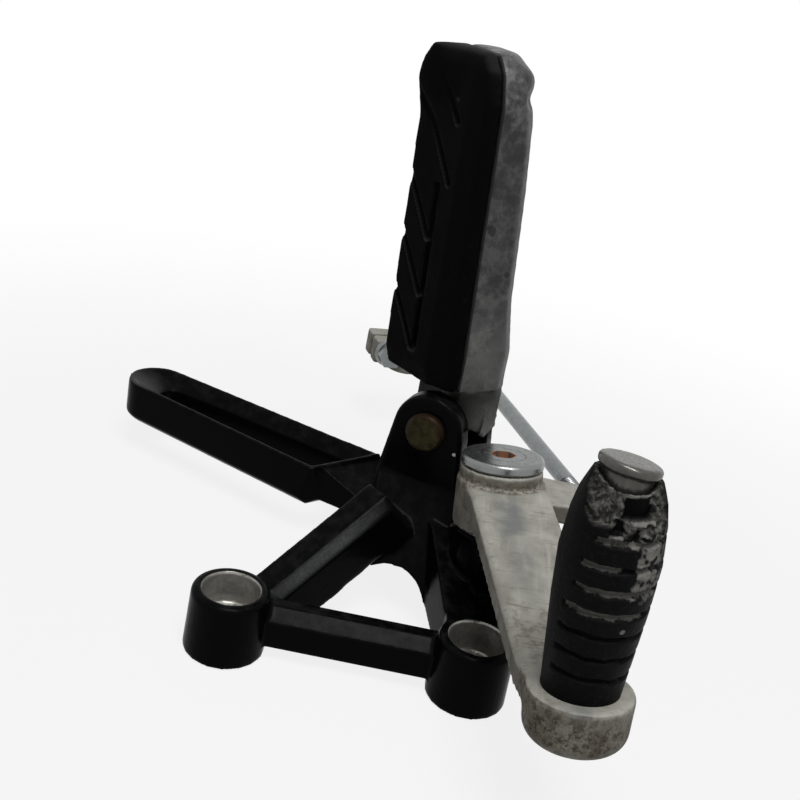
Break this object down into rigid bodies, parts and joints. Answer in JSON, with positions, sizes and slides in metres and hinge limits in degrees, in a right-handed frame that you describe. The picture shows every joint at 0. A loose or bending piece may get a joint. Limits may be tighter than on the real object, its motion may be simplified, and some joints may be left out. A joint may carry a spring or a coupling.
{
  "type": "footrest bracket",
  "caption": "Cast left rider footrest bracket with heel guard, folding rubber-padded footpeg, gear shift lever and shift linkage with ball joints and a clamp arm.",
  "frame": {"origin": "midway between the two mounting bolt holes, on the mounting face of the bosses", "axes": "+X along the bolt line, +Y towards the rear of the motorbike, +Z outwards from the motorbike along the bolts"},
  "size_m": [0.1879, 0.2729, 0.1784],
  "materials": {
    "black_paint": "satin black paint on a casting",
    "cast_aluminium": "dull cast",
    "zinc": "zinc plated",
    "aged_pin": "yellowed plating with rust",
    "tread_rubber": "matte",
    "toe_rubber": "worn matte"
  },
  "bodies": {
    "carrier": {"bracket": "black_paint", "clevis_pin": "aged_pin", "pin_clip": "zinc", "return_spring": "zinc", "pivot_sleeve": "zinc", "thrust_washer": "zinc", "pivot_cap_washer": "zinc", "pivot_bolt": "zinc"},
    "footpeg": {"footpeg_base": "cast_aluminium", "footpeg_rubber": "tread_rubber"},
    "lever": {"shift_lever": "cast_aluminium", "toe_rubber": "toe_rubber", "front_ball_stud": "zinc", "front_stud_nut": "zinc"},
    "linkage": {"front_rod_end": "zinc", "front_lock_nut": "zinc", "link_rod": "zinc", "rear_lock_nut": "zinc", "rear_rod_end": "zinc"},
    "gear_arm": {"shift_arm": "cast_aluminium", "rear_ball_stud": "zinc", "rear_stud_nut": "zinc", "arm_pinch_bolt": "zinc"}
  },
  "joints": [
    {"name": "peg_fold", "type": "hinge", "parent": "carrier", "child": "footpeg", "pos_m": [0.011, 0.0529, 0.0585], "axis": [-0.309, -0.9511, 0], "range_deg": [0, 65]},
    {"name": "lever_pivot", "type": "hinge", "parent": "carrier", "child": "lever", "pos_m": [0.0382, 0.0355, 0.0382], "axis": [-0.1011, 0.1471, 0.984], "range_deg": [-10, 10]},
    {"name": "front_ball_joint", "type": "hinge", "parent": "lever", "child": "linkage", "pos_m": [0.0754, 0.038, 0.042], "axis": [0, 0, 1], "range_deg": [-8, 8]},
    {"name": "rear_ball_joint", "type": "hinge", "parent": "linkage", "child": "gear_arm", "pos_m": [0.01739, 0.19567, 0.042], "axis": [0, 0, 1], "range_deg": [-25, 25]}
  ]
}
